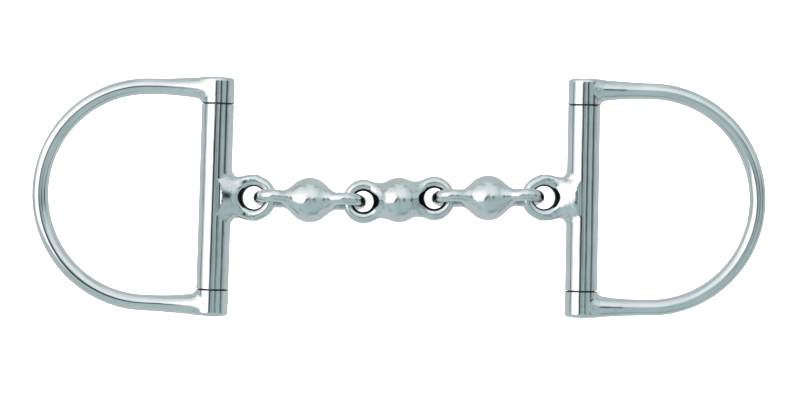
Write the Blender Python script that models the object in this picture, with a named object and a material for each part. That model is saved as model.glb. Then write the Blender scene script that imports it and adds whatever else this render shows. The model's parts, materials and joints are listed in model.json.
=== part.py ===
"""A dee-ring snaffle bit: two D-shaped cheeks hinged to a mouthpiece of three ball links.

The bit lies flat. X runs along the mouthpiece, Y along the cheeks and Z is up. The origin is on the
surface the bit lies on, under the middle of its outline. Each side is built facing +X from the centre
link, and the left side is the same build turned half round about Z. The three links, laid out, put the
barrels' inner faces about 127 mm apart.
"""

from math import asin, cos, pi, radians, sin

import bmesh
import bpy
from mathutils import Matrix, Vector

# Driving dimensions of the cheeks, in metres.
BARREL_RADIUS = 0.0061
BARREL_LENGTH = 0.0697
BARREL_EYE_REACH = 0.0148  # from the barrel's axis to the centre of its eye
BARREL_EYE_HOLE = 0.0043  # radius
BARREL_EYE_BAR = 0.0043  # width of the metal round the hole
LUG_HALF_WIDTH = 0.0075
LUG_FLARES = (  # out from the barrel's axis, extra half width, extra half thickness
    (0.75 * BARREL_RADIUS, 0.0042, 0.0013),
    (BARREL_RADIUS, 0.0020, 0.0012),
    (BARREL_RADIUS + 0.0014, 0.0006, 0.0008),
    (BARREL_EYE_REACH - BARREL_EYE_HOLE - 0.0008, 0.0, 0.0003),
)
KNUCKLE_LENGTH = 0.0100
KNUCKLE_ROUNDING = 0.0016  # on the outer end's edge
BOW_ROD_RADIUS = 0.0031
BOW_HALF_HEIGHT = 0.0412  # of the rod's centreline, where it leaves the knuckle
BOW_ARC_RADIUS = 0.0409
BOW_ARC_REACH = 0.0257  # from the barrel's axis to the centre of the bow's arc
BOW_ROOT = 0.45 * BARREL_RADIUS  # where the rod starts inside its knuckle
BOW_FLARE = 0.0015  # how much the rod thickens into the knuckle
BOW_FLARE_LENGTH = 0.0048
PIN_RADIUS = 0.0030

# Driving dimensions of one ball link, in metres.
BALL_RADIUS = 0.0085
LINK_EYE_REACH = 0.0134  # from the ball's centre to the centre of each eye
LINK_EYE_HOLE = 0.0039  # radius
LINK_EYE_SIDE_BAR = 0.0044
LINK_EYE_END_BAR = 0.0038
EYE_THICKNESS = 0.0046
BALL_SHOULDERS = ((0.40, 0.85, 0.82), (0.62, 0.77, 0.71))  # x, half width, half thickness, in ball radii
NECK_WAIST = (0.80, 1.01, 0.53)  # x in ball radii, half width in eye widths, half thickness in ball radii
NECK_ENDS = ((0.0006, 0.98, 0.0007), (0.0012, 1.0, 0.0001))  # past the ring's ridge, eye widths, above it

# Clearances, in metres.
BARREL_PIN_GAP = 0.00015
KNUCKLE_PIN_GAP = 0.00010
SEAM = 0.0003  # between a barrel's end and a knuckle
INNER_SLACK = 0.0010  # between the hole centres' offset and a taut chain, at the centre link
OUTER_SLACK = 0.0005  # the same, at the barrel's eye

# How the loose chain lies: angles about Z unless said otherwise.
CENTRE_LINK_LAY = radians(2.5)
LINK_LAY = {"left": radians(-2.4), "right": radians(0.5)}
CHEEK_LAY = {"left": radians(-1.8), "right": radians(-1.0)}
LINK_SIDE_SHIFT = -0.0002  # along the bar each outer link hangs on
LINK_ROLL = {"left": radians(11.0), "right": radians(-11.0)}  # about the link's length
BARREL_ROLL = radians(7.0)  # about the barrel, eye upwards, onto the link's loop

# Facets.
ROUND_SIDES = 32
PIN_SIDES = 24
ROD_SIDES = 14
EYE_SIDES = 12
EYE_STEPS = 28
NECK_SIDES = 20
ARC_STEPS = 24
FLARE_STEPS = 4
ROUNDING_STEPS = 3

HALF_TURN = {"left": pi, "right": 0.0}
ALONG_X = Matrix.Rotation(pi / 2, 4, "Y")


def oval(centre, across, up, half_across, half_up, sides):
    """A ring of points: an ellipse round a centre, in the plane of two unit vectors."""
    turns = [2 * pi * i / sides for i in range(sides)]
    return [centre + across * half_across * cos(t) + up * half_up * sin(t) for t in turns]


def skin(name, rings, closed=False):
    """A mesh whose surface runs from ring to ring; the ends are capped unless it closes on itself."""
    bm = bmesh.new()
    loops = [[bm.verts.new(point) for point in ring] for ring in rings]
    followers = loops[1:] + (loops[:1] if closed else [])
    for near, far in zip(loops, followers):
        for i in range(len(near)):
            j = (i + 1) % len(near)
            bm.faces.new((near[i], near[j], far[j], far[i]))
    if not closed:
        bm.faces.new(loops[0])
        bm.faces.new(loops[-1])
    bmesh.ops.recalc_face_normals(bm, faces=bm.faces)
    return finished(name, bm)


def turned(name, profile, sides):
    """A solid of revolution about Y from its (y, radius) profile."""
    rings = []
    for y, radius in profile:
        rings.append(oval(Vector((0, y, 0)), Vector((1, 0, 0)), Vector((0, 0, 1)), radius, radius, sides))
    return skin(name, rings)


def finished(name, bm):
    mesh = bpy.data.meshes.new(name)
    bm.to_mesh(mesh)
    bm.free()
    return mesh


def steel(name, colour, roughness):
    material = bpy.data.materials.new(name)
    material.use_nodes = True
    shader = material.node_tree.nodes["Principled BSDF"]
    shader.inputs["Base Color"].default_value = (*colour, 1.0)
    shader.inputs["Metallic"].default_value = 1.0
    shader.inputs["Roughness"].default_value = roughness
    return material


def combined(name, base, added=(), removed=()):
    """One solid from a base mesh, with other meshes joined on and others cut away."""
    whole = bpy.data.objects.new(name + "_blank", base)
    bpy.context.collection.objects.link(whole)
    helpers = [whole]
    for operation, meshes in (("UNION", added), ("DIFFERENCE", removed)):
        for mesh in meshes:
            helper = bpy.data.objects.new(name + "_tool", mesh)
            bpy.context.collection.objects.link(helper)
            helpers.append(helper)
            step = whole.modifiers.new(operation.lower(), "BOOLEAN")
            step.operation = operation
            step.solver = "EXACT"
            step.object = helper
    graph = bpy.context.evaluated_depsgraph_get()
    solid = bpy.data.meshes.new_from_object(whole.evaluated_get(graph))
    solid.name = name
    for helper in helpers:
        bpy.data.objects.remove(helper)
    return solid


def eye_ring(name, reach, hole, side_bar, end_bar):
    """A round eye on the X axis, its hole along Z; its metal is widest at the sides."""
    rings = []
    for step in range(EYE_STEPS):
        turn = 2 * pi * step / EYE_STEPS
        out = Vector((cos(turn), sin(turn), 0))
        half_bar = (end_bar + (side_bar - end_bar) * sin(turn) ** 2) / 2
        centre = Vector((reach, 0, 0)) + out * (hole + half_bar)
        rings.append(oval(centre, out, Vector((0, 0, 1)), half_bar, EYE_THICKNESS / 2, EYE_SIDES))
    return skin(name, rings, closed=True)


def neck(name, stations):
    """A flat neck along X from its (x, half width along Y, half thickness along Z) stations."""
    y_axis, z_axis = Vector((0, 1, 0)), Vector((0, 0, 1))
    rings = []
    for x, wide, thick in stations:
        rings.append(oval(Vector((x, 0, 0)), y_axis, z_axis, wide, thick, NECK_SIDES))
    return skin(name, rings)


def link_mesh():
    """A ball with an eye on each side, in one casting; both holes run along Z."""
    bm = bmesh.new()
    bmesh.ops.create_uvsphere(
        bm, u_segments=ROUND_SIDES, v_segments=ROUND_SIDES // 2, radius=BALL_RADIUS, matrix=ALONG_X
    )
    ball = finished("ball", bm)
    bar_top = EYE_THICKNESS / 2
    ring_ridge = LINK_EYE_REACH - LINK_EYE_HOLE - LINK_EYE_END_BAR / 2
    width_at_ring = LINK_EYE_HOLE + bar_top
    stations = [[BALL_RADIUS * share for share in station] for station in BALL_SHOULDERS]
    x, wide, thick = NECK_WAIST
    stations.append((BALL_RADIUS * x, width_at_ring * wide, BALL_RADIUS * thick))
    for x, wide, thick in NECK_ENDS:
        stations.append((ring_ridge + x, width_at_ring * wide, bar_top + thick))
    extras = []
    for side in (1, -1):
        eye = eye_ring("eye", LINK_EYE_REACH, LINK_EYE_HOLE, LINK_EYE_SIDE_BAR, LINK_EYE_END_BAR)
        arm = neck("neck", stations)
        for mesh in (eye, arm):
            mesh.transform(Matrix.Rotation(0 if side > 0 else pi, 4, "Z"))
            extras.append(mesh)
    return combined("ball_link", ball, added=extras)


def barrel_mesh():
    """A tube along Y with one eye on its -X side, in one casting."""
    half = BARREL_LENGTH / 2
    tube = turned("tube", ((-half, BARREL_RADIUS), (half, BARREL_RADIUS)), ROUND_SIDES)
    bore_radius = PIN_RADIUS + BARREL_PIN_GAP
    bore = turned("bore", ((-2 * half, bore_radius), (2 * half, bore_radius)), PIN_SIDES)
    bar_top = EYE_THICKNESS / 2
    arm = neck("lug", [(x, LUG_HALF_WIDTH + wider, bar_top + thicker) for x, wider, thicker in LUG_FLARES])
    eye = eye_ring("eye", BARREL_EYE_REACH, BARREL_EYE_HOLE, BARREL_EYE_BAR, BARREL_EYE_BAR)
    for mesh in (arm, eye):
        mesh.transform(Matrix.Rotation(pi, 4, "Z"))
    return combined("cheek_barrel", tube, added=(arm, eye), removed=(bore,))


def bow_path():
    """The rod's centreline from the upper knuckle round to the lower, as (x, y, radius)."""
    flare_end = BARREL_RADIUS + BOW_FLARE_LENGTH
    upper = []
    for step in range(FLARE_STEPS + 1):
        along = step / FLARE_STEPS
        flare = BOW_FLARE * (1 - along) ** 2
        x = BOW_ROOT + (flare_end - BOW_ROOT) * along
        upper.append((x, BOW_HALF_HEIGHT - flare, BOW_ROD_RADIUS + flare))
    arc = []
    for step in range(ARC_STEPS + 1):
        turn = pi / 2 - pi * step / ARC_STEPS
        x = BOW_ARC_REACH + BOW_ARC_RADIUS * cos(turn)
        arc.append((x, BOW_ARC_RADIUS * sin(turn), BOW_ROD_RADIUS))
    lower = [(x, -y, radius) for x, y, radius in reversed(upper)]
    return upper + arc + lower


def bow_mesh():
    """The D of rod between its two knuckles, in one casting, with the pin's bore through them."""
    path = bow_path()
    rings = []
    for i, (x, y, radius) in enumerate(path):
        before, after = path[max(i - 1, 0)], path[min(i + 1, len(path) - 1)]
        ahead = Vector((after[0] - before[0], after[1] - before[1], 0)).normalized()
        if i in (0, len(path) - 1):
            ahead = Vector((1 if i == 0 else -1, 0, 0))
        out = Vector((-ahead.y, ahead.x, 0))
        rings.append(oval(Vector((x, y, 0)), out, Vector((0, 0, 1)), radius, radius, ROD_SIDES))
    rod = skin("rod", rings)
    inner = BARREL_LENGTH / 2 + SEAM
    outer = inner + KNUCKLE_LENGTH
    profile = [(inner, BARREL_RADIUS)]
    for step in range(ROUNDING_STEPS + 1):
        turn = pi / 2 * step / ROUNDING_STEPS
        y = outer - KNUCKLE_ROUNDING * (1 - sin(turn))
        profile.append((y, BARREL_RADIUS - KNUCKLE_ROUNDING * (1 - cos(turn))))
    knuckles = [turned("knuckle", profile, ROUND_SIDES)]
    knuckles.append(turned("knuckle", [(-y, radius) for y, radius in profile], ROUND_SIDES))
    bore_radius = PIN_RADIUS + KNUCKLE_PIN_GAP
    bore = turned("bore", ((-2 * outer, bore_radius), (2 * outer, bore_radius)), PIN_SIDES)
    return combined("dee_bow", rod, added=knuckles, removed=(bore,))


def pin_mesh():
    """The hinge pin, its ends ground flush with the knuckles."""
    half = BARREL_LENGTH / 2 + SEAM + KNUCKLE_LENGTH
    return turned("hinge_pin", ((-half, PIN_RADIUS), (half, PIN_RADIUS)), PIN_SIDES)


def pivot(name, parent, place):
    """An empty on a joint, placed in its parent's frame."""
    empty = bpy.data.objects.new(name, None)
    empty.empty_display_size = BALL_RADIUS
    empty.parent = parent
    empty.matrix_local = place
    bpy.context.collection.objects.link(empty)
    return empty


def piece(name, mesh, material, parent, place=Matrix.Identity(4)):
    """A named part, carried by a pivot."""
    part = bpy.data.objects.new(name, mesh)
    part.parent = parent
    part.matrix_local = place
    bpy.context.collection.objects.link(part)
    mesh.materials.clear()
    mesh.materials.append(material)
    mesh.shade_smooth()
    mesh.set_sharp_from_angle(angle=radians(40))
    return part


def turn_about(axis, angle):
    return Matrix.Rotation(angle, 4, axis)


def side_of_bit(side, meshes, metals):
    """One outer link, barrel, bow and pin, each hung on the one before it."""
    eye_bar = LINK_EYE_REACH + LINK_EYE_HOLE + LINK_EYE_END_BAR / 2
    inboard = LINK_EYE_REACH + INNER_SLACK
    outboard = BARREL_EYE_REACH + BARREL_EYE_HOLE - LINK_EYE_END_BAR / 2 - OUTER_SLACK

    facing = turn_about("Z", HALF_TURN[side] + CENTRE_LINK_LAY)
    fold = pivot(side + "_link_fold", None, facing @ Matrix.Translation((eye_bar, 0, BALL_RADIUS)))

    laid = turn_about("Z", LINK_LAY[side] - CENTRE_LINK_LAY)
    beside = Matrix.Translation((inboard, LINK_SIDE_SHIFT, 0))
    upright = turn_about("X", pi / 2 + LINK_ROLL[side])
    piece(side + "_ball_link", meshes["link"], metals["link"], fold, laid @ beside @ upright)

    at_bar = laid @ Matrix.Translation((inboard + eye_bar, LINK_SIDE_SHIFT, 0))
    along_bar = turn_about("X", LINK_ROLL[side])
    swing = pivot(side + "_cheek_swing", fold, at_bar @ along_bar)

    down = BARREL_RADIUS - BALL_RADIUS
    level = along_bar.inverted() @ turn_about("Z", CHEEK_LAY[side] - LINK_LAY[side])
    to_axis = level @ Matrix.Translation((outboard * cos(BARREL_ROLL), 0, down))
    rolled = to_axis @ turn_about("Y", BARREL_ROLL)
    piece(side + "_cheek_barrel", meshes["barrel"], metals["barrel"], swing, rolled)

    lie = asin((BARREL_RADIUS - BOW_ROD_RADIUS) / (BOW_ARC_REACH + BOW_ARC_RADIUS))
    turn = pivot(side + "_dee_turn", swing, to_axis @ turn_about("Y", lie))
    piece(side + "_dee_bow", meshes["bow"], metals["bow"], turn)
    piece(side + "_hinge_pin", meshes["pin"], metals["pin"], turn)


def outline_middle():
    """The middle, seen from above, of the box round every part."""
    bpy.context.view_layer.update()
    points = []
    for part in bpy.data.objects:
        if part.type == "MESH":
            points += [part.matrix_world @ vertex.co for vertex in part.data.vertices]
    low = [min(point[axis] for point in points) for axis in (0, 1)]
    high = [max(point[axis] for point in points) for axis in (0, 1)]
    return Vector(((low[0] + high[0]) / 2, (low[1] + high[1]) / 2, 0))


for leftover in list(bpy.data.objects):
    bpy.data.objects.remove(leftover)

meshes = {"link": link_mesh(), "barrel": barrel_mesh(), "bow": bow_mesh(), "pin": pin_mesh()}
metals = {
    "link": steel("polished_cast_steel", (0.70, 0.72, 0.72), 0.16),
    "barrel": steel("polished_barrel_steel", (0.66, 0.68, 0.69), 0.12),
    "bow": steel("polished_rod_steel", (0.72, 0.74, 0.74), 0.12),
    "pin": steel("pin_steel", (0.60, 0.61, 0.62), 0.25),
}

rest = Matrix.Translation((0, 0, BALL_RADIUS)) @ turn_about("Z", CENTRE_LINK_LAY)
centre = pivot("centre_link_rest", None, rest)
piece("centre_ball_link", meshes["link"], metals["link"], centre)
for side in ("left", "right"):
    side_of_bit(side, meshes, metals)

middle = outline_middle()
for part in bpy.data.objects:
    if part.parent is None:
        part.matrix_world = Matrix.Translation(-middle) @ part.matrix_world
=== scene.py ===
"""A dee-ring snaffle bit lying on a pale table: two hinged D cheeks joined by a chain of three ball links."""

import json
from itertools import product
from math import cos, pi, radians, sin

import bmesh
import bpy
import numpy as np
from mathutils import Matrix, Vector


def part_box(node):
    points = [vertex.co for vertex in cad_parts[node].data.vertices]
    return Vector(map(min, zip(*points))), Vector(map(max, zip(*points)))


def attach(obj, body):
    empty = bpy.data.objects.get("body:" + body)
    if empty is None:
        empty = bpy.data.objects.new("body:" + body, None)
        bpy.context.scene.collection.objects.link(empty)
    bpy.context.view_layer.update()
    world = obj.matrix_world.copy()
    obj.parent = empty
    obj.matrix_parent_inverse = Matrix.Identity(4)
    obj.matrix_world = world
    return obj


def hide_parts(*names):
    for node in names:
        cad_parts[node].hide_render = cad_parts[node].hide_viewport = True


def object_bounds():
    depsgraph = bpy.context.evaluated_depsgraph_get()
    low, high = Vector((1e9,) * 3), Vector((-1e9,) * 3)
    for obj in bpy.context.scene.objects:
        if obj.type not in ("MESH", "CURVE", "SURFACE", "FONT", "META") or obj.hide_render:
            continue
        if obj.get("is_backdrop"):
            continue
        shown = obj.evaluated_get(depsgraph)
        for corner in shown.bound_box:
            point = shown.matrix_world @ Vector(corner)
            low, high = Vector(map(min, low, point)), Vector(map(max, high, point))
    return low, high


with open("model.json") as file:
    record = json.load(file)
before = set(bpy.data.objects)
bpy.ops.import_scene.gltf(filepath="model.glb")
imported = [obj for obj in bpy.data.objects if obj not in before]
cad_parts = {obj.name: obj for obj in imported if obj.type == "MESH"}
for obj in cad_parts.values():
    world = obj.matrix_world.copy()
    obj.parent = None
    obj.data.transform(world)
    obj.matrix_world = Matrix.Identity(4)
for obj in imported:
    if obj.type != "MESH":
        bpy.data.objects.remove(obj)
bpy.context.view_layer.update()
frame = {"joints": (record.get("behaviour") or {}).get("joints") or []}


# The three ball links of the mouthpiece. Each is one casting in stainless steel: a ball between two
# round eyes. The outside is tumbled and buffed bright; inside the eyes the steel is painted dark as shade.

BALL_RADIUS = 0.0085
LINK_EYE_REACH = 0.0134  # from the ball's centre to the centre of each hole
LINK_EYE_HOLE = 0.0039  # radius
LINK_EYE_SIDE_BAR = 0.0044
LINK_EYE_END_BAR = 0.0038
EYE_HALF_THICKNESS = 0.0023
EYE_OUTER_ROUNDING = 0.0022
EYE_HOLE_ROUNDING = 0.0021
LINK_NECK_FILLET = 0.0038
LINK_NET = 0.00034  # spacing of the mesh
LINK_MARGIN = 0.0007  # room round the link for that mesh


def joined(a, b, radius):
    """Two solids as one, with a fillet of that radius between them."""
    both = np.hypot(np.maximum(radius - a, 0), np.maximum(radius - b, 0))
    return np.maximum(radius, np.minimum(a, b)) - both


def shared(a, b, radius):
    """What two solids share, with its edge rounded to that radius."""
    both = np.hypot(np.maximum(radius + a, 0), np.maximum(radius + b, 0))
    return np.minimum(-radius, np.maximum(a, b)) + both


def link_skin(points):
    """Distance from the surface of a ball link, whose eyes lie along X and whose holes run along Z."""
    x, y, z = np.moveaxis(points, -1, 0)
    ball = np.sqrt(x * x + y * y + z * z) - BALL_RADIUS
    beyond = np.abs(x) - LINK_EYE_REACH
    width = LINK_EYE_HOLE + LINK_EYE_SIDE_BAR
    squeeze = np.where(beyond > 0, width / (LINK_EYE_HOLE + LINK_EYE_END_BAR), 1.0)
    rim = np.hypot(beyond * squeeze, y) - width
    eye = shared(np.abs(z) - EYE_HALF_THICKNESS, rim, EYE_OUTER_ROUNDING)
    body = joined(ball, eye, LINK_NECK_FILLET)
    return shared(body, LINK_EYE_HOLE - np.hypot(beyond, y), EYE_HOLE_ROUNDING)


def slope(skin, points, reach=1e-5):
    """The direction in which the distance from a surface grows."""
    parts = []
    for axis in range(3):
        step = np.zeros(3)
        step[axis] = reach
        parts.append((skin(points + step) - skin(points - step)) / (2 * reach))
    return np.stack(parts, axis=-1)


def settled(skin, points):
    """Points moved onto a surface."""
    for _ in range(3):
        way = slope(skin, points)
        points = points - way * (skin(points) / np.maximum((way * way).sum(-1), 0.1))[:, None]
    return points


def cast(name, skin, low, high, spacing):
    """The closed surface where a distance is zero, as a net of even quads."""
    low, high = np.array(low), np.array(high)
    counts = np.ceil((high - low) / spacing).astype(int) + 1
    lines = [low[axis] + spacing * np.arange(counts[axis]) for axis in range(3)]
    depth = skin(np.stack(np.meshgrid(*lines, indexing="ij"), axis=-1))
    solid = depth < 0
    cells = counts - 1
    corners = [np.array(corner) for corner in product((0, 1), repeat=3)]
    filled = np.zeros(cells, int)
    for corner in corners:
        filled += solid[tuple(slice(o, o + n) for o, n in zip(corner, cells))]
    crossed = (filled > 0) & (filled < 8)
    number = np.full(cells, -1)
    number[crossed] = np.arange(crossed.sum())
    where = np.argwhere(crossed)
    total, hits = np.zeros((len(where), 3)), np.zeros(len(where))
    for axis in range(3):
        ahead = np.eye(3, dtype=int)[axis]
        for corner in corners:
            if corner[axis]:
                continue
            near = depth[tuple((where + corner).T)]
            far = depth[tuple((where + corner + ahead).T)]
            cut = (near < 0) != (far < 0)
            along = np.where(cut, near / np.where(cut, near - far, 1.0), 0.0)
            total += cut[:, None] * (corner + along[:, None] * ahead)
            hits += cut
    points = low + spacing * (where + total / hits[:, None])
    quads = []
    for axis in range(3):
        ahead, left, up = (np.eye(3, dtype=int)[(axis + turn) % 3] for turn in range(3))
        near = solid[tuple(slice(0, n - o) for n, o in zip(counts, ahead))]
        far = solid[tuple(slice(o, n) for n, o in zip(counts, ahead))]
        for leaving, pattern in ((True, (0, 1, 2, 3)), (False, (3, 2, 1, 0))):
            edges = np.argwhere((near == leaving) & (far != leaving))
            round_it = [edges, edges - left, edges - left - up, edges - up]
            quads.append(np.stack([number[tuple(round_it[i].T)] for i in pattern], axis=-1))
    quads = np.concatenate(quads)
    for _ in range(3):
        pull, ties = np.zeros_like(points), np.zeros(len(points))
        for side in range(4):
            one, other = quads[:, side], quads[:, (side + 1) % 4]
            np.add.at(pull, one, points[other])
            np.add.at(ties, one, 1)
            np.add.at(pull, other, points[one])
            np.add.at(ties, other, 1)
        points = settled(skin, 0.5 * points + 0.5 * pull / ties[:, None])
    mesh = bpy.data.meshes.new(name)
    mesh.from_pydata(points.tolist(), [], quads.tolist())
    return mesh


def ramp(value, start, end):
    """0 before the start, 1 after the end, smooth between."""
    along = np.clip((value - start) / (end - start), 0, 1)
    return along * along * (3 - 2 * along)


EYE_SHADE_LIP = EYE_HOLE_ROUNDING * 1.1  # how far outside the hole the painted shade reaches
EYE_SHADE_LIP_BLEND = 0.0004


def painted_eye_shade(points, normals, reach, hole, start):
    """How far a surface faces into an eye's hole, painted dark as shade from that start on."""
    away = points - np.array((reach, 0, 0))
    away[:, 2] = 0
    gap = np.maximum(np.linalg.norm(away, axis=1), 1e-6)
    inward = -(normals * away).sum(axis=1) / gap
    return ramp(inward, start, start * 0.6 + 0.4) * ramp(hole + EYE_SHADE_LIP - gap, 0, EYE_SHADE_LIP_BLEND)


CUT_FACE_DEPTH = 0.00004  # a face whose middle is this far off the casting's skin was cut


def surfaced(mesh, skin, shade_mask):
    """Smooth normals on the cast faces, true ones on the cut faces, and the part painted as shade marked."""
    corners = np.zeros(len(mesh.loops), int)
    mesh.loops.foreach_get("vertex_index", corners)
    spots = np.zeros(len(mesh.vertices) * 3)
    mesh.vertices.foreach_get("co", spots)
    spots = spots.reshape(-1, 3)
    middles, flats = np.zeros(len(mesh.polygons) * 3), np.zeros(len(mesh.polygons) * 3)
    mesh.polygons.foreach_get("center", middles)
    mesh.polygons.foreach_get("normal", flats)
    sizes = np.zeros(len(mesh.polygons), int)
    mesh.polygons.foreach_get("loop_total", sizes)
    cut = np.abs(skin(middles.reshape(-1, 3))) > CUT_FACE_DEPTH
    smooth = slope(skin, spots)
    smooth /= np.linalg.norm(smooth, axis=1)[:, None]
    normals = smooth[corners]
    cut_corners = np.repeat(cut, sizes)
    normals[cut_corners] = np.repeat(flats.reshape(-1, 3), sizes, axis=0)[cut_corners]
    mesh.shade_smooth()
    mesh.normals_split_custom_set(normals.tolist())
    shade = mesh.attributes.new("painted_shade", "FLOAT", "CORNER")
    # painted shade: this mask marks where the steel is painted near black as shade
    shade.data.foreach_set("value", shade_mask(spots[corners], normals, cut_corners).astype(np.float32))
    return mesh


LINK_EYE_SHADE_FROM = 0.52
OUTER_LINK_EYE_SHADE = 0.35
OUTER_LINK_TIP_SHADE = (0.0012, 0.0026)  # beyond the hole


def link_painted_shade(points, normals, cut):
    """Where a link is painted dark as shade: inside its eyes."""
    reaches = (LINK_EYE_REACH, -LINK_EYE_REACH)
    return sum(
        painted_eye_shade(points, normals, reach, LINK_EYE_HOLE, LINK_EYE_SHADE_FROM) for reach in reaches
    )


def outer_link_painted_shade(points, normals, cut):
    """The same on an outer link: less painted shade in its eyes, and its ends painted dark as shade where
    they lie in the eyes they hang in.
    """
    outward = normals[:, 0] * np.sign(points[:, 0])
    beyond = np.abs(points[:, 0]) - LINK_EYE_REACH - LINK_EYE_HOLE
    # painted shade: the link's ends, where they lie in the other eyes, are marked dark
    tip_shade = ramp(outward, 0.55, 0.95) * ramp(beyond, *OUTER_LINK_TIP_SHADE)
    return np.maximum(link_painted_shade(points, normals, cut) * OUTER_LINK_EYE_SHADE, tip_shade)


class Wire:
    """A shader socket that Python's operators work on, each by adding a Math node."""

    def __init__(self, tree, socket=None):
        self.tree = tree
        self.socket = socket

    def node(self, kind, settings, inputs, output=0):
        made = self.tree.nodes.new("ShaderNode" + kind)
        for name, value in settings.items():
            setattr(made, name, value)
        for name, value in inputs.items():
            if isinstance(value, Wire):
                self.tree.links.new(value.socket, made.inputs[name])
            else:
                made.inputs[name].default_value = value
        return Wire(self.tree, made.outputs[output])

    def maths(self, operation, *values):
        return self.node("Math", {"operation": operation}, dict(enumerate(values)))

    def __add__(self, other):
        return self.maths("ADD", self, other)

    def __radd__(self, other):
        return self.maths("ADD", other, self)

    def __sub__(self, other):
        return self.maths("SUBTRACT", self, other)

    def __rsub__(self, other):
        return self.maths("SUBTRACT", other, self)

    def __mul__(self, other):
        return self.maths("MULTIPLY", self, other)

    def __rmul__(self, other):
        return self.maths("MULTIPLY", other, self)

    def __truediv__(self, other):
        return self.maths("DIVIDE", self, other)

    def rise(self, start, end):
        """0 where this is before the start, 1 past the end, smooth between."""
        settings = {"interpolation_type": "SMOOTHSTEP"}
        return self.node("MapRange", settings, {"Value": self, "From Min": start, "From Max": end})

    def blend(self, low, high):
        """One colour where this is 0, the other where it is 1."""
        return self.node("Mix", {"data_type": "RGBA"}, {0: self, 6: low, 7: high}, 2)

    def noise(self, place, scale, seed, detail=2.0):
        """Soft blotches from 0 to 1, that many to a metre."""
        settings = {"noise_dimensions": "4D"}
        inputs = {"Vector": place, "Scale": scale, "W": seed, "Detail": detail}
        return self.node("TexNoise", settings, inputs)

    def stretched(self, place, scales):
        """A place with each of its axes scaled on its own."""
        return self.node("Mapping", {}, {"Vector": place, "Scale": scales})


def steel_tree(name):
    """A new steel material, ready to wire, and the place on the piece in the piece's own axes."""
    material = bpy.data.materials.new(name)
    material.use_nodes = True
    tree = Wire(material.node_tree)
    return material, tree, tree.node("Attribute", {"attribute_name": "own_place"}, {}, "Vector")


BUMP_UNIT = 0.00001  # metres for a height of 1
PAINTED_SHADE_BLACK = (0.012, 0.013, 0.014, 1)  # painted shade: near black where the shade mask is marked
PINHOLE_SHADE = (0.22, 0.21, 0.20, 1)
DULL_LINK_STEEL = (0.70, 0.71, 0.71, 1)
BRIGHT_STEEL = (0.78, 0.785, 0.785, 1)


def finished(material, tree, colour, rough, height):
    """A polished metal finish with its fine relief."""
    bump = tree.node("Bump", {}, {"Height": height, "Distance": BUMP_UNIT})
    inputs = {"Base Color": colour, "Roughness": rough, "Metallic": 1.0, "Normal": bump}
    shader = material.node_tree.nodes["Principled BSDF"]
    for name, value in inputs.items():
        if isinstance(value, Wire):
            material.node_tree.links.new(value.socket, shader.inputs[name])
        else:
            shader.inputs[name].default_value = value
    return material


def cast_steel(name, seed):
    """Buffed casting: slow waves left by the mould, fine buffing, pinholes, and painted shade: near black in
    the eyes, dark in the pinholes.
    """
    material, tree, place = steel_tree(name)
    shade_mask = tree.node("Attribute", {"attribute_name": "painted_shade"}, {}, "Fac")
    edge = (shade_mask + (tree.noise(place, 900.0, seed + 5.0) - 0.5) * 0.5).rise(0.15, 0.75)
    waves = tree.noise(place, 260.0, seed, 1.0)
    dimples = tree.noise(place, 700.0, seed + 1.0)
    buffing = tree.noise(tree.stretched(place, (700.0, 5200.0, 5200.0)), 1.0, seed + 2.0)
    smudge = tree.noise(place, 160.0, seed + 3.0, 3.0)
    # pinholes: small dents, whose insides are painted darker as shade
    holes = tree.noise(place, 1500.0, seed + 4.0, 1.0).rise(0.74, 0.80)
    grain = tree.noise(place, 3500.0, seed + 6.0)
    height = waves * 14.0 + dimples * 4.5 + buffing * 0.30 + edge * grain - holes * 2.0
    metal = smudge.rise(0.3, 0.7).blend(DULL_LINK_STEEL, BRIGHT_STEEL)
    # painted shade: near black where the shade mask is marked
    colour = edge.blend(holes.blend(metal, PINHOLE_SHADE), PAINTED_SHADE_BLACK)
    rough = 0.115 + smudge.rise(0.35, 0.75) * 0.07 + edge * 0.35 + holes * 0.3
    return finished(material, tree, colour, rough, height)


def laid(origin, along, upright):
    """A frame at a point, its X along one direction and its Y as near as may be to another."""
    x = along.normalized()
    z = x.cross(upright).normalized()
    turn = Matrix((x, z.cross(x), z)).transposed()
    return Matrix.Translation(origin) @ turn.to_4x4()


def placed(name, mesh, material, place, body):
    """A finished piece that stands for the node of that name, and keeps its own axes for its grain."""
    spots = np.zeros(len(mesh.vertices) * 3, np.float32)
    mesh.vertices.foreach_get("co", spots)
    mesh.attributes.new("own_place", "FLOAT_VECTOR", "POINT").data.foreach_set("vector", spots)
    mesh.transform(place)
    piece = bpy.data.objects.new(name + "_steel", mesh)
    bpy.context.scene.collection.objects.link(piece)
    mesh.materials.clear()
    mesh.materials.append(material)
    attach(piece, body)
    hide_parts(name)
    return piece


def middle(node):
    low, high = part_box(node)
    return (low + high) / 2


joints = {joint["name"]: joint for joint in frame["joints"]}


def joint_at(name):
    return Vector(joints[name]["pos_m"])


def joint_axis(name):
    return Vector(joints[name]["axis"])


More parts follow.
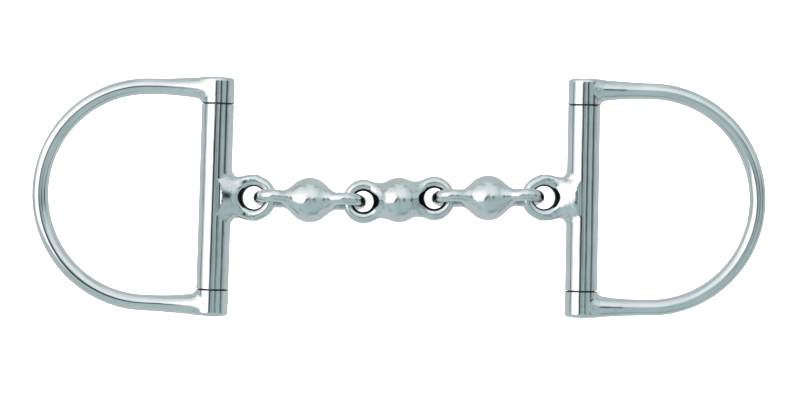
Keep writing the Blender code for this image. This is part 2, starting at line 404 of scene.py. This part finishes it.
link_end = LINK_EYE_REACH + LINK_EYE_HOLE + LINK_EYE_END_BAR
link_box = np.array((link_end, BALL_RADIUS, BALL_RADIUS)) + LINK_MARGIN
blank = cast("ball_link", link_skin, -link_box, link_box, LINK_NET)
outer_link = surfaced(blank.copy(), link_skin, outer_link_painted_shade)
link = surfaced(blank, link_skin, link_painted_shade)
centre = middle("centre_ball_link")
across = joint_at("right_link_fold") - joint_at("left_link_fold")
across.z = 0
place = laid(centre, across, Vector((0, 1, 0)))
placed("centre_ball_link", link, cast_steel("centre_link_steel", 1.0), place, "centre_link")
for side, seed in (("left", 12.0), ("right", 23.0)):
    node = side + "_ball_link"
    swing = side + "_cheek_swing"
    place = laid(middle(node), joint_at(swing) - middle(node), joint_axis(swing))
    metal = cast_steel(side + "_link_steel", seed)
    placed(node, outer_link.copy(), metal, place, side + "_link")


# The two cheek barrels. Each is a steel tube cast in one with the eye that the mouthpiece hangs in. It
# is bored for the hinge pin, faced off square at both ends and polished lengthwise.

BARREL_RADIUS = 0.0061
BARREL_HALF_LENGTH = 0.03485
BARREL_EYE_REACH = 0.0148
BARREL_EYE_HOLE = 0.0043
BARREL_EYE_BAR = 0.0043
BARREL_EYE_SHADE_FROM = 0.74
BARREL_BORE = 0.00315
LUG_HALF_WIDTH = 0.0070
LUG_CROWN = 0.0019  # how much the lug's middle stands up at the tube
LUG_CROWN_END = 0.0125  # distance from the barrel's axis
LUG_EYE_FILLET = 0.0030
LUG_FILLET = 0.0040
LUG_ROOT = 0.0054
FACING_ALLOWANCE = 0.0015  # cast longer than it is faced off
EDGE_BREAK = 0.00018
BARREL_NET = 0.0004
BARREL_MARGIN = 0.0008
BARREL_END_MARGIN = 0.0025
TUBE_ROOM = 0.0070  # half the height of the meshed space
BARREL_ROLL = radians(7.0)  # eye upwards, onto the link's loop
BORE_SIDES = 96


def barrel_skin(points):
    """Distance from a barrel's surface: its tube runs along Y and its eye is on its -X side."""
    x, y, z = np.moveaxis(points, -1, 0)
    end = np.abs(y) - BARREL_HALF_LENGTH - FACING_ALLOWANCE
    tube = np.maximum(np.hypot(x, z) - BARREL_RADIUS, end)
    gap = np.hypot(x + BARREL_EYE_REACH, y)
    disc = gap - BARREL_EYE_HOLE - BARREL_EYE_BAR
    strip = np.maximum(np.abs(y) - LUG_HALF_WIDTH, -x - BARREL_EYE_REACH)
    outline = joined(disc, strip, LUG_EYE_FILLET)
    crown = LUG_CROWN * ramp(x, -LUG_CROWN_END, -BARREL_RADIUS) * (1 - (y / LUG_HALF_WIDTH) ** 2)
    flat = np.abs(z) - EYE_HALF_THICKNESS - np.maximum(crown, 0)
    arm = np.maximum(shared(flat, outline, EYE_OUTER_ROUNDING), x + LUG_ROOT)
    return shared(joined(tube, arm, LUG_FILLET), BARREL_EYE_HOLE - gap, EYE_HOLE_ROUNDING)


def turned(name, profile, sides):
    """A solid turned about Y from its (y, radius) profile."""
    bm = bmesh.new()
    rings = []
    for y, radius in profile:
        turns = [2 * pi * i / sides for i in range(sides)]
        rings.append([bm.verts.new((radius * sin(t), y, radius * cos(t))) for t in turns])
    for near, far in zip(rings, rings[1:]):
        for i in range(sides):
            bm.faces.new((near[i - 1], near[i], far[i], far[i - 1]))
    bm.faces.new(rings[0])
    bm.faces.new(rings[-1])
    bmesh.ops.recalc_face_normals(bm, faces=bm.faces)
    mesh = bpy.data.meshes.new(name)
    bm.to_mesh(mesh)
    bm.free()
    return mesh


def machined(mesh, cutter):
    """A casting with a turned shape cut out of it exactly."""
    blank = bpy.data.objects.new("blank", mesh)
    tool = bpy.data.objects.new("tool", cutter)
    for thing in (blank, tool):
        bpy.context.scene.collection.objects.link(thing)
    cut = blank.modifiers.new("cut", "BOOLEAN")
    cut.operation = "DIFFERENCE"
    cut.solver = "EXACT"
    cut.object = tool
    graph = bpy.context.evaluated_depsgraph_get()
    result = bpy.data.meshes.new_from_object(blank.evaluated_get(graph))
    for thing in (blank, tool):
        bpy.data.objects.remove(thing)
    return result


def mirrored(profile):
    """A turning profile given from its +Y end to the middle, with its other half."""
    return [(-y, radius) for y, radius in profile] + [(y, radius) for y, radius in reversed(profile)]


def barrel_painted_shade(points, normals, cut):
    """Where a barrel is painted dark as shade: in its eye, its bore and its end faces."""
    eye = painted_eye_shade(points, normals, -BARREL_EYE_REACH, BARREL_EYE_HOLE, BARREL_EYE_SHADE_FROM)
    # painted shade: the eye and every cut face (bore and both end faces) are marked dark
    return np.maximum(eye, cut * 1.0)


DRAW_SCALE = (3200.0, 60.0, 3200.0)
BROAD_DRAW_SCALE = (800.0, 15.0, 800.0)
ARM_START, ARM_END = 0.0048, 0.0070  # where the lengthwise lines give way to a buffed arm
DULL_TUBE_STEEL = (0.71, 0.72, 0.72, 1)
DRAW_LINE_STEEL = (0.50, 0.52, 0.52, 1)


def drawn_steel(name, seed, lines, unrolled=None):
    """Steel polished along its length: long lines, faint waves and dull smudges. Where marked, eyes and cut
    faces are painted dark as shade.
    """
    material, tree, place = steel_tree(name)
    shade_mask = tree.node("Attribute", {"attribute_name": "painted_shade"}, {}, "Fac")
    edge = (shade_mask + (tree.noise(place, 900.0, seed + 5.0) - 0.5) * 0.4).rise(0.25, 0.6)
    run = unrolled(tree, place) if unrolled else place
    draw = tree.noise(tree.stretched(run, DRAW_SCALE), 1.0, seed + 2.0)
    broad = tree.noise(tree.stretched(run, BROAD_DRAW_SCALE), 1.0, seed + 7.0)
    ripple = tree.noise(place, 120.0, seed, 1.0)
    smudge = tree.noise(place, 90.0, seed + 3.0, 3.0)
    grain = tree.noise(place, 3500.0, seed + 6.0)
    arm = (tree.node("SeparateXYZ", {}, {"Vector": place}, "X") * -1.0).rise(ARM_START, ARM_END)
    dimples = tree.noise(place, 620.0, seed + 1.0)
    drawn = (broad * 3.0 + draw * 0.70) * lines
    height = ripple * 9.0 + drawn * (1 - arm) + dimples * arm * 3.0 + edge * grain
    worn = smudge.rise(0.3, 0.7).blend(DULL_TUBE_STEEL, BRIGHT_STEEL)
    metal = (draw.rise(0.5, 0.75) * 0.5).blend(worn, DRAW_LINE_STEEL)
    # painted shade: near black where the shade mask is marked
    colour = edge.blend(metal, PAINTED_SHADE_BLACK)
    rough = 0.035 + smudge.rise(0.4, 0.8) * 0.05 + draw * 0.02 + edge * 0.35
    return finished(material, tree, colour, rough, height)


eye_end = BARREL_EYE_REACH + BARREL_EYE_HOLE + BARREL_EYE_BAR + BARREL_MARGIN
tube_end = BARREL_HALF_LENGTH + BARREL_END_MARGIN
low, high = (-eye_end, -tube_end, -TUBE_ROOM), (TUBE_ROOM, tube_end, TUBE_ROOM)
casting = cast("cheek_barrel", barrel_skin, low, high, BARREL_NET)
clear_end, clear_radius = BARREL_HALF_LENGTH + 0.010, 0.012  # past the casting
lathe = mirrored((
    (clear_end, clear_radius),
    (BARREL_HALF_LENGTH - EDGE_BREAK, clear_radius),
    (BARREL_HALF_LENGTH - EDGE_BREAK, BARREL_RADIUS),
    (BARREL_HALF_LENGTH, BARREL_RADIUS - EDGE_BREAK),
    (BARREL_HALF_LENGTH, BARREL_BORE),
))
barrel = surfaced(machined(casting, turned("facing_tool", lathe, BORE_SIDES)), barrel_skin, barrel_painted_shade)


def hinge_frame(side):
    """The middle of a cheek's hinge: Y along the barrel, X level and away from the mouthpiece."""
    upright = Vector((0, 0, 1))
    y = joint_axis(side + "_dee_turn").normalized()
    outward = 1 if side == "right" else -1
    if y.cross(upright).x * outward < 0:
        y = -y
    x = y.cross(upright).normalized()
    turn = Matrix((x, y, x.cross(y))).transposed()
    return Matrix.Translation(joint_at(side + "_dee_turn")) @ turn.to_4x4()


for side, seed in (("left", 31.0), ("right", 42.0)):
    place = hinge_frame(side) @ Matrix.Rotation(BARREL_ROLL, 4, "Y")
    metal = drawn_steel(side + "_barrel_steel", seed, 1.0)
    placed(side + "_cheek_barrel", barrel.copy(), metal, place, side + "_cheek")


# The two D bows. Each is a rod bent to a D and fused with a short knuckle at both ends, which take the
# hinge pin above and below the barrel. It is polished along the rod, which leaves faint lines.

BOW_ROD_RADIUS = 0.0031
BOW_HALF_HEIGHT = 0.0412  # of the rod's centreline where it leaves the knuckle
BOW_ARC_RADIUS = 0.04087
BOW_ARC_REACH = 0.0257  # from the barrel's axis to the centre of the arc
BOW_ROD_START = 0.0055
BOW_FLARE = 0.0013  # how much the rod thickens into the knuckle
BOW_FLARE_END = 0.0230
BOW_FLARE_INWARD = 0.14  # how much of that goes towards the D's inside
KNUCKLE_INNER = 0.03515
KNUCKLE_OUTER = 0.04515
KNUCKLE_CAST_EXTRA = 0.0015  # inwards, before its face is cut
KNUCKLE_REACH = 0.028  # nothing nearer the middle belongs to a knuckle
KNUCKLE_ROUNDING = 0.0016
KNUCKLE_FILLET = 0.0020
KNUCKLE_TOP_ROUNDING = 0.0006
KNUCKLE_TOP_SLOPE = 0.045  # how fast its top falls away along the rod
KNUCKLE_TOP_FROM, KNUCKLE_TOP_TO = 0.002, 0.010
KNUCKLE_BORE = 0.0031
BOW_LIE = np.arcsin((BARREL_RADIUS - BOW_ROD_RADIUS) / (BOW_ARC_REACH + BOW_ARC_RADIUS))
BOW_NET = 0.0004
BOW_MARGIN = 0.0008
BOW_LINES = 0.55  # depth of its polishing lines beside the barrels'


def bow_skin(points):
    """Distance from a bow's surface: knuckles on the Y axis, the D out to +X."""
    x, y, z = np.moveaxis(points, -1, 0)
    fall = (BOW_HALF_HEIGHT - BOW_ARC_RADIUS) / BOW_ARC_REACH
    flare = BOW_FLARE * np.clip((BOW_FLARE_END - x) / (BOW_FLARE_END - BARREL_RADIUS), 0, 1) ** 2
    straight = np.abs(y) - BOW_HALF_HEIGHT + fall * x + flare * BOW_FLARE_INWARD
    arc = np.hypot(x - BOW_ARC_REACH, y) - BOW_ARC_RADIUS
    aside = np.where(x < BOW_ARC_REACH, straight, arc)
    short = np.minimum(x - BOW_ROD_START, 0)
    rod = np.sqrt(aside ** 2 + z ** 2 + short ** 2) - BOW_ROD_RADIUS - flare
    drum = np.hypot(x, z) - BARREL_RADIUS
    knuckle = shared(drum, np.abs(y) - KNUCKLE_OUTER, KNUCKLE_ROUNDING)
    knuckle = np.maximum(knuckle, KNUCKLE_INNER - KNUCKLE_CAST_EXTRA - np.abs(y))
    whole = np.where(np.abs(y) > KNUCKLE_REACH, joined(rod, knuckle, KNUCKLE_FILLET), rod)
    along_top = np.clip(x, KNUCKLE_TOP_FROM, KNUCKLE_TOP_TO) - KNUCKLE_TOP_FROM
    top = np.abs(y) - KNUCKLE_OUTER + along_top * KNUCKLE_TOP_SLOPE
    return shared(whole, top, KNUCKLE_TOP_ROUNDING)


def bow_painted_shade(points, normals, cut):
    """Where a bow is painted dark as shade: the knuckles' inner faces and their bore."""
    # painted shade: every cut face is marked dark
    return cut * 1.0


BOW_BEND_BLEND = 0.004  # half the length over which straight turns to curve


def along_rod(tree, place):
    """A place told by how far it is across the rod, along it and above it."""
    x, y, z = (tree.node("SeparateXYZ", {}, {"Vector": place}, axis) for axis in "XYZ")
    out = x - BOW_ARC_REACH
    side = tree.maths("ABSOLUTE", y)
    bent = x.rise(BOW_ARC_REACH - BOW_BEND_BLEND, BOW_ARC_REACH + BOW_BEND_BLEND)
    across = side + (tree.maths("SQRT", out * out + y * y) - side) * bent
    return tree.node("CombineXYZ", {}, {"X": across, "Y": x + y, "Z": z})


bow_end = BOW_ARC_REACH + BOW_ARC_RADIUS + BOW_ROD_RADIUS + BOW_MARGIN
knuckle_end = KNUCKLE_OUTER + BOW_MARGIN
low = (-BARREL_RADIUS - BOW_MARGIN, -knuckle_end, -TUBE_ROOM)
high = (bow_end, knuckle_end, TUBE_ROOM)
casting = cast("dee_bow", bow_skin, low, high, BOW_NET)
clear_end, clear_radius = KNUCKLE_OUTER + 0.005, 0.013  # past the casting
lathe = mirrored((
    (clear_end, KNUCKLE_BORE),
    (KNUCKLE_INNER, KNUCKLE_BORE),
    (KNUCKLE_INNER, BARREL_RADIUS - EDGE_BREAK),
    (KNUCKLE_INNER + EDGE_BREAK, BARREL_RADIUS),
    (KNUCKLE_INNER + EDGE_BREAK, clear_radius),
))
bow = surfaced(machined(casting, turned("bow_tool", lathe, BORE_SIDES)), bow_skin, bow_painted_shade)
for side, seed in (("left", 53.0), ("right", 64.0)):
    place = hinge_frame(side) @ Matrix.Rotation(BOW_LIE, 4, "Y")
    metal = drawn_steel(side + "_bow_steel", seed, BOW_LINES, along_rod)
    placed(side + "_dee_bow", bow.copy(), metal, place, side + "_dee")


# The two hinge pins. Each is a straight steel pin pressed through a bow's knuckles and the barrel
# between them, its ends ground flush and lightly chamfered.

PIN_RADIUS = 0.0030
PIN_CHAMFER = 0.00020
PIN_RING_PITCH = 2 * pi / 14000.0  # between the rings that grinding left on its ends


def pin_steel(name, seed):
    """Ground pin ends: fine rings round the centre on a duller steel."""
    material, tree, place = steel_tree(name)
    x = tree.node("SeparateXYZ", {}, {"Vector": place}, "X")
    z = tree.node("SeparateXYZ", {}, {"Vector": place}, "Z")
    radius = tree.maths("SQRT", x * x + z * z)
    rings = tree.maths("SINE", radius * (2 * pi / PIN_RING_PITCH))
    blotch = tree.noise(place, 500.0, seed)
    colour = blotch.rise(0.35, 0.7).blend((0.42, 0.43, 0.43, 1), (0.58, 0.59, 0.59, 1))
    return finished(material, tree, colour, 0.22 + blotch * 0.15, rings * 0.1 + blotch * 0.6)


softened = PIN_CHAMFER * 0.3  # the chamfer's corner, worn a little round
profile = mirrored((
    (KNUCKLE_OUTER, PIN_RADIUS * 0.3),
    (KNUCKLE_OUTER, PIN_RADIUS - PIN_CHAMFER),
    (KNUCKLE_OUTER - softened, PIN_RADIUS - softened),
    (KNUCKLE_OUTER - PIN_CHAMFER, PIN_RADIUS),
    (KNUCKLE_INNER, PIN_RADIUS),
))
pin = turned("hinge_pin", profile, BORE_SIDES)
pin.shade_smooth()
pin.set_sharp_from_angle(angle=radians(25))
for side, seed in (("left", 71.0), ("right", 82.0)):
    place = hinge_frame(side) @ Matrix.Rotation(BOW_LIE, 4, "Y")
    metal = pin_steel(side + "_pin_steel", seed)
    placed(side + "_hinge_pin", pin.copy(), metal, place, side + "_dee")


# The table: plain white card, brightly and evenly lit from a wide panel overhead. In the polished metal
# it shows as painted shade: a fixed grey glow, a little greyer than it looks, as a card does where the bit
# itself shades it.

TABLE_SIZE = 6.0
PANEL_SIZE = 3.0
PANEL_HEIGHT = 1.6
PANEL_WATTS = 240.0
CARD_WHITES = (0.90, 0.90, 0.90, 1), (0.93, 0.93, 0.93, 1)
CARD_SHADE_IN_METAL = (0.58, 0.65, 0.66, 1)

bm = bmesh.new()
bmesh.ops.create_grid(bm, x_segments=1, y_segments=1, size=TABLE_SIZE / 2)
card = bpy.data.meshes.new("table")
bm.to_mesh(card)
bm.free()
table = bpy.data.objects.new("table", card)
bpy.context.scene.collection.objects.link(table)
material = bpy.data.materials.new("white_card")
material.use_nodes = True
tree = Wire(material.node_tree)
place = tree.node("TexCoord", {}, {}, "Object")
fibre = tree.noise(place, 600.0, 3.0)
plain = tree.node("BsdfDiffuse", {}, {"Color": fibre.blend(*CARD_WHITES)})
# painted shade: glossy rays see the card as this fixed grey glow instead of the lit card
card_shade_glow = tree.node("Emission", {}, {"Color": CARD_SHADE_IN_METAL, "Strength": 1.0})
glossy = tree.node("LightPath", {}, {}, "Is Glossy Ray")
seen = tree.node("MixShader", {}, {0: glossy, 1: plain, 2: card_shade_glow})
tree.tree.links.new(seen.socket, tree.tree.nodes["Material Output"].inputs["Surface"])
card.materials.append(material)
table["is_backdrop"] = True

panel = bpy.data.lights.new("overhead_panel", "AREA")
panel.shape = "SQUARE"
panel.size = PANEL_SIZE
panel.energy = PANEL_WATTS
overhead = bpy.data.objects.new("overhead_panel", panel)
overhead.location = (0, 0, PANEL_HEIGHT)
overhead.visible_glossy = False
bpy.context.scene.collection.objects.link(overhead)


# The studio round the table: a white panel high on the left, a bright wall behind, a grey-green wall in
# front and a few small dark gaps between the panels overhead. Each direction has a place (u, v) in it:
# straight up is (0, 0), u grows to the right and v to the back, and the level is how bright it is there.

BACK_WALL, BACK_WALL_TOP_LOSS = 1.10, 0.22
RIGHT_LOSS = 0.36  # how much the back wall loses towards the right
LEFT_PANEL_EXTRA = 0.55
FRONT_WALL, FRONT_WALL_LEFT, FRONT_WALL_FOOT = 0.60, 0.06, 0.06
HORIZON = 0.60
# Each gap: where it is, its half width and half height, how far it leans, and how dark it is.
OVERHEAD_GAPS = (
    ((-0.105, 0.0), (0.062, 0.11), 0.75, 0.99),
    ((0.215, 0.02), (0.048, 0.07), 0.0, 0.97),
    ((0.56, 0.0), (0.044, 0.08), 0.0, 0.90),
)
LEFT_GAP = ((-0.70, 0.0), (0.035, 0.16), 0.0, 0.80)
GREEN_SHADE, NEAR_WHITE = (0.78, 1.0, 1.02, 1), (0.99, 1.0, 1.0, 1)
BACKDROP_LEVEL = 1.05

world = bpy.data.worlds.new("studio")
world.use_nodes = True
bpy.context.scene.world = world
sky = Wire(world.node_tree)
direction = sky.node("TexCoord", {}, {}, "Generated")
x, y, z = (sky.node("SeparateXYZ", {}, {"Vector": direction}, axis) for axis in "XYZ")
spread = sky.maths("SQRT", (z + 1.0) * 2.0 + 0.0001)
u = x / spread
v = y / spread


def bell(squared):
    """1 at 0 and falling away smoothly."""
    return sky.maths("EXPONENT", squared * -1.0)


def gap(at, half_size, lean, depth):
    """A dark gap: how much light is left at each direction."""
    du, dv = u - at[0], v - at[1]
    across = (du - dv * lean) * (1 / half_size[0])
    along = dv * (1 / half_size[1])
    return 1 - bell(across * across + along * along) * depth


left_side = (u * -1.0).rise(0.06, 0.26)
upper = (v + left_side * 0.20).rise(0.025, 0.135)
left_panel = left_side * (u + 0.66).rise(0.0, 0.16) * v.rise(0.42, 0.06)
above = BACK_WALL - u.rise(0.10, 0.60) * RIGHT_LOSS + left_panel * LEFT_PANEL_EXTRA
above = above - v.rise(0.15, 0.70) * BACK_WALL_TOP_LOSS
foot = (v + 0.75).rise(0.25, 0.0)
below = FRONT_WALL + left_side * FRONT_WALL_LEFT + foot * FRONT_WALL_FOOT
level = below + (above - below) * upper
for overhead_gap in OVERHEAD_GAPS:
    level = level * gap(*overhead_gap)

# Thin seams between the overhead panels, and the room's clutter low down.
seams = sky.node("TexNoise", {"noise_dimensions": "1D"}, {"W": u, "Scale": 26.0, "Detail": 1.0})
along_row = bell(v * v * 50.0) * u.rise(-0.15, -0.05)
level = level * (1 - seams.rise(0.50, 0.66) * along_row * 0.60)
clutter = sky.node("TexNoise", {}, {"Vector": direction, "Scale": 2.6, "Detail": 2.0})
low_down = (1 - z).rise(0.35, 0.95)
level = level * (1 - low_down * clutter.rise(0.46, 0.60) * 0.38)
level = level + (HORIZON - level) * (1 - z).rise(0.86, 1.04) * 0.7
level = level * gap(*LEFT_GAP)

tint = level.rise(0.55, 1.25).blend(GREEN_SHADE, NEAR_WHITE)
around = sky.node("Background", {}, {"Color": tint, "Strength": level})
backdrop = sky.node("Background", {}, {"Color": (1.0, 1.0, 1.0, 1), "Strength": BACKDROP_LEVEL})
camera_ray = sky.node("LightPath", {}, {}, "Is Camera Ray")
shown = sky.node("MixShader", {}, {0: camera_ray, 1: around, 2: backdrop})
sky.tree.links.new(shown.socket, sky.tree.nodes["World Output"].inputs["Surface"])
bpy.context.scene.view_settings.view_transform = "Standard"


# The camera looks straight down on the bit from far enough to see it almost without perspective.

CAMERA_LENS = 100.0  # millimetres
CAMERA_PLACE = (0.00040, -0.00100, 0.8445)

lens = bpy.data.cameras.new("camera")
lens.lens = CAMERA_LENS
camera = bpy.data.objects.new("camera", lens)
camera.location = CAMERA_PLACE
bpy.context.scene.collection.objects.link(camera)
bpy.context.scene.camera = camera

low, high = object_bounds()
